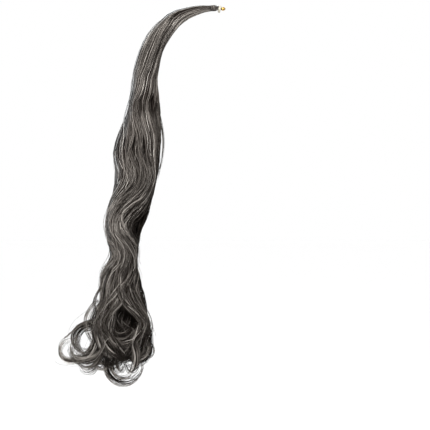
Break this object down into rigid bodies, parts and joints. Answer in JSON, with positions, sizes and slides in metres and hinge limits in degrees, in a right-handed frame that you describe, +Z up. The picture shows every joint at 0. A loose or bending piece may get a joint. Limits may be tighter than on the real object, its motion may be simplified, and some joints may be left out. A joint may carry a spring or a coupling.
{
  "type": "ponytail hairpiece",
  "caption": "Long wavy ponytail hairpiece in mixed greys. A wound lock, an elastic band and a hairpin bind its root for the crown, and the hair falls to loose ringlets.",
  "frame": {"origin": "on the scalp at the crown of the head, under the bound root, where the pin holds the piece", "axes": "+X towards the wearer's face, +Y to the wearer's left, +Z up"},
  "size_m": [0.2508, 0.1165, 0.5575],
  "materials": {
    "hair": "soft sheen, mixed charcoal and silver strands",
    "wound_hair": "soft sheen, tightly wound",
    "elastic": "matt off-white",
    "pin_metal": "bright gold-coloured metal"
  },
  "bodies": {
    "root": {"hair_tail": "hair", "root_wrap": "wound_hair", "end_band": "elastic", "hair_pin": "pin_metal"}
  },
  "joints": []
}
